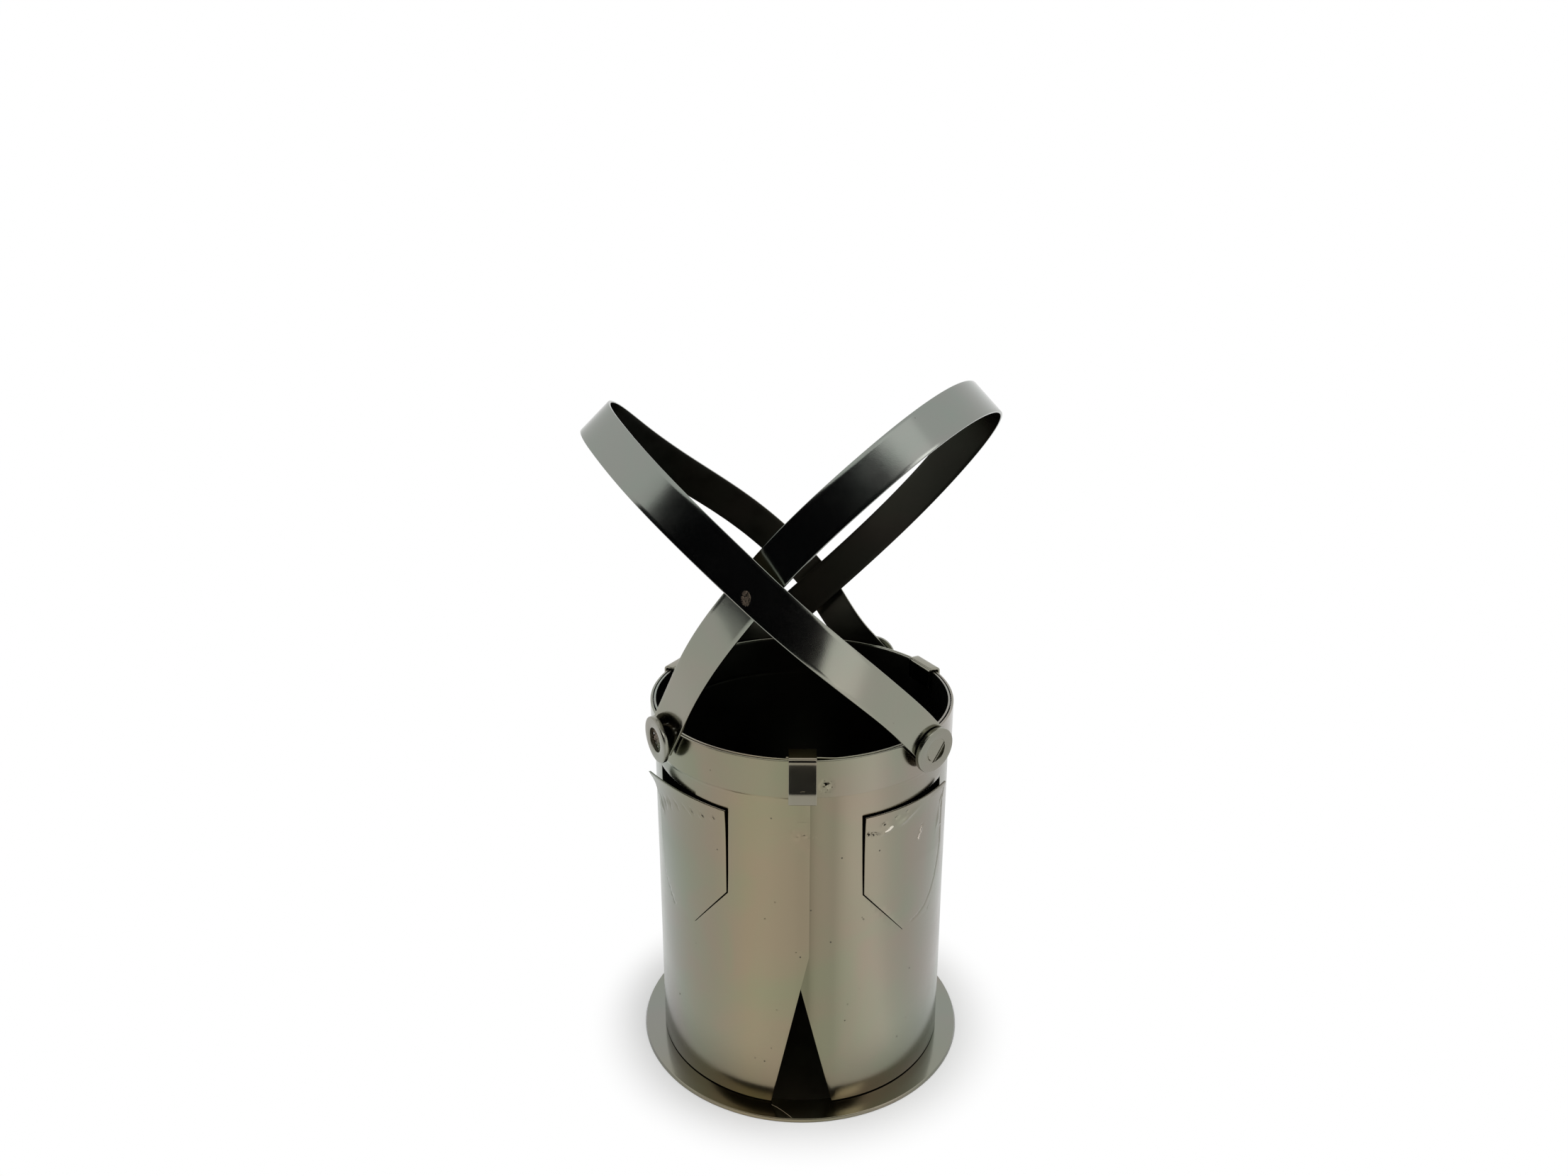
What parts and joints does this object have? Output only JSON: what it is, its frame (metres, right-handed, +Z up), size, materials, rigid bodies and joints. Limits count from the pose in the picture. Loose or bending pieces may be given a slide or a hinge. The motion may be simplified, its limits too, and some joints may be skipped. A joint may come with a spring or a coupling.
{
  "type": "bottle holder",
  "caption": "Upright sheet-metal bottle holder shaped like short trousers on a round base, with pockets, a belt band and crossed brace hoops rising above the rim.",
  "frame": {"origin": "centre of the round base's underside, on the table plane", "axes": "+Z up along the tube's axis, -Y to the front where the leg gap is, +X to the viewer's right"},
  "size_m": [0.1052, 0.0992, 0.1865],
  "materials": {
    "plated_sheet": "satin gunmetal plating, warm grey",
    "plated_strip": "satin gunmetal plating, neutral grey",
    "weld": "rough plated weld"
  },
  "bodies": {
    "root": {"base_disc": "plated_sheet", "trouser_tube": "plated_sheet", "belt_band": "plated_strip", "belt_loop_front": "plated_strip", "belt_loop_rear_right": "plated_strip", "belt_loop_rear_left": "plated_strip", "brace_right": "plated_strip", "brace_left": "plated_strip", "washer_front_right": "plated_strip", "washer_front_left": "plated_strip", "washer_rear_right": "plated_strip", "washer_rear_left": "plated_strip", "plug_weld_front_right": "weld", "plug_weld_front_left": "weld", "plug_weld_rear_right": "weld", "plug_weld_rear_left": "weld", "tack_weld_1": "weld", "tack_weld_2": "weld", "tack_weld_3": "weld", "tack_weld_4": "weld"}
  },
  "joints": []
}
